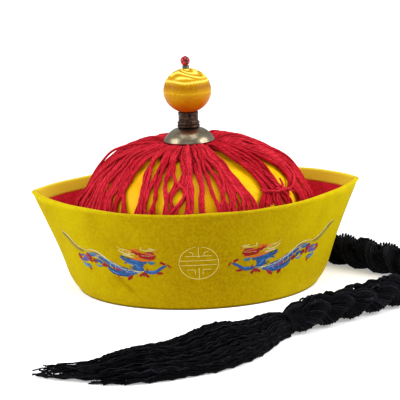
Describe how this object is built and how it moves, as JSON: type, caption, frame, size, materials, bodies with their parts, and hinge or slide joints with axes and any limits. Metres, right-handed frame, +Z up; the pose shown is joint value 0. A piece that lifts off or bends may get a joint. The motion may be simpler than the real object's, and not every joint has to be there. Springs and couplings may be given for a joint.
{
  "type": "mandarin hat",
  "caption": "Costume hat with an upturned pointed band round a domed crown, a yarn fringe, a ball finial on a metal stem, and a braided queue ending in a tassel that lies on the table.",
  "frame": {"origin": "middle of the hat's footprint on the surface it rests on, without the queue", "axes": "+X to the wearer's left, along the long way from seam point to seam point; +Y to the back of the hat; +Z up"},
  "size_m": [0.3276, 0.4123, 0.1836],
  "materials": {
    "band_cloth": "woven cotton, olive yellow",
    "lining_felt": "felt, deep crimson",
    "crown_satin": "satin, bright yellow",
    "red_yarn": "twisted yarn, crimson",
    "pewter": "aged pewter, half polished",
    "dark_metal": "dark patinated, satin",
    "silk_thread": "wound silk thread, golden yellow",
    "grey_metal": "dull grey",
    "red_lacquer": "high gloss",
    "black_yarn": "matt soft yarn, black"
  },
  "bodies": {
    "root": {"brim_front": "band_cloth", "brim_back": "band_cloth", "brim_lining": "lining_felt", "crown": "crown_satin", "fringe": "red_yarn", "finial_rod": "dark_metal", "finial_cap": "pewter", "finial_collar": "dark_metal", "finial_ball": "silk_thread", "finial_ferrule": "grey_metal", "finial_bead": "red_lacquer", "braid_cuff": "black_yarn", "braid": "black_yarn", "braid_tie": "black_yarn", "braid_tassel": "black_yarn"}
  },
  "joints": []
}
